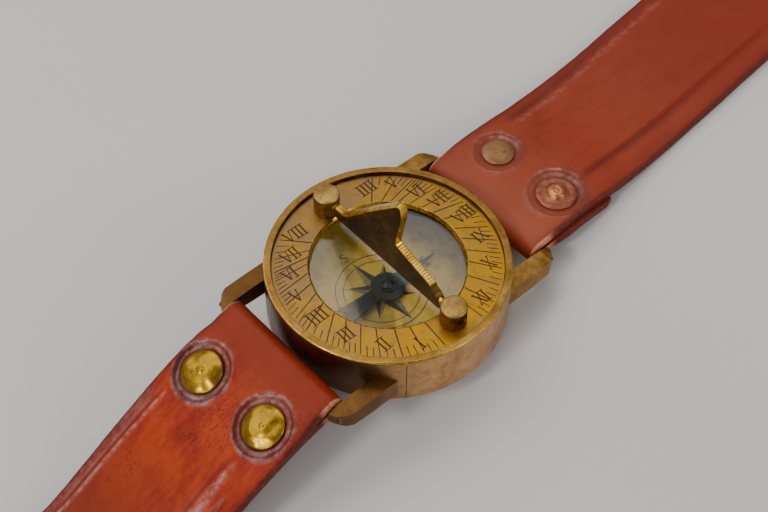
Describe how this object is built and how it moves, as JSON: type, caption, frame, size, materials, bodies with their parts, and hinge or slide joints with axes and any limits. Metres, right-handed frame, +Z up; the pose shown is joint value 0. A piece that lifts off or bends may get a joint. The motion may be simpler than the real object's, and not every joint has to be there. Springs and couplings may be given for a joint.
{
  "type": "wrist sundial compass",
  "caption": "Round brass case with a folding gnomon over an engraved hour ring and a glazed compass, on a riveted two-piece leather strap with a pin buckle.",
  "frame": {"origin": "centre of the flat face of the case back", "axes": "+Z up from the table that the object lies on, +X along the strap towards the buckle, +Y along the gnomon towards the noon post; the case leans 12.3 degrees about +Y, buckle side up"},
  "size_m": [0.2788, 0.046, 0.0344],
  "materials": {
    "brass_case": "aged satin",
    "brass_dial": "aged, engraved",
    "brass_dark": "dark patina with bright edges",
    "brass_card": "yellow, printed",
    "brass_rivet": "polished",
    "brass_dull": "dull",
    "steel_blued": "blued",
    "steel_pin": "ground",
    "glass": "clear",
    "seal": "matt",
    "leather": "waxed, burnished edges"
  },
  "bodies": {
    "case": {"case_ring": "brass_case", "case_back": "brass_case", "lug_buckle_north": "brass_case", "lug_buckle_south": "brass_case", "lug_tip_north": "brass_case", "lug_tip_south": "brass_case", "strap_bar_buckle": "brass_dull", "strap_bar_tip": "brass_dull", "compass_card": "brass_card", "needle_pivot": "steel_pin", "spacer_ring": "brass_dark", "glass_seal": "seal", "glass": "glass", "hour_plate": "brass_dial", "post_north": "brass_dull", "post_south": "brass_dull"},
    "gnomon": {"gnomon": "brass_dark"},
    "needle": {"needle": "steel_blued", "needle_cap": "brass_dull"},
    "strap_buckle": {"leather_buckle": "leather", "rivets_buckle": "brass_rivet", "burrs_buckle": "brass_dull", "keeper_fixed": "leather", "end_rivets": "brass_rivet", "end_burrs": "brass_dull"},
    "buckle": {"buckle_frame": "brass_case", "buckle_bar": "brass_dull"},
    "prong": {"buckle_prong": "brass_case"},
    "keeper_free": {"keeper_free": "leather"},
    "strap_tip": {"leather_tip": "leather", "rivets_tip": "brass_dull", "burrs_tip": "brass_dull"}
  },
  "joints": [
    {"name": "gnomon_fold", "type": "hinge", "parent": "case", "child": "gnomon", "pos_m": [-0.00285, 0, 0.01309], "axis": [0, 1, 0], "range_deg": [-90, 90]},
    {"name": "needle_spin", "type": "hinge", "parent": "case", "child": "needle", "pos_m": [-0.00068, 0, 0.00313], "axis": [-0.213, 0, 0.977], "continuous": true},
    {"name": "strap_buckle_swing", "type": "hinge", "parent": "case", "child": "strap_buckle", "pos_m": [0.02441, 0, 0.00962], "axis": [0, 1, 0], "range_deg": [-60, 60]},
    {"name": "strap_tip_swing", "type": "hinge", "parent": "case", "child": "strap_tip", "pos_m": [-0.02656, 0, 0.00025], "axis": [0, -1, 0], "range_deg": [-60, 70]},
    {"name": "buckle_swing", "type": "hinge", "parent": "strap_buckle", "child": "buckle", "pos_m": [0.108, 0, -0.00174], "axis": [0, -1, 0], "range_deg": [-60, 45]},
    {"name": "prong_swing", "type": "hinge", "parent": "buckle", "child": "prong", "pos_m": [0.108, 0, -0.00174], "axis": [0, -1, 0], "range_deg": [0, 80]},
    {"name": "keeper_slide", "type": "slide", "parent": "strap_buckle", "child": "keeper_free", "axis": [1, 0, 0], "range_m": [-0.0028, 0.0032]}
  ]
}
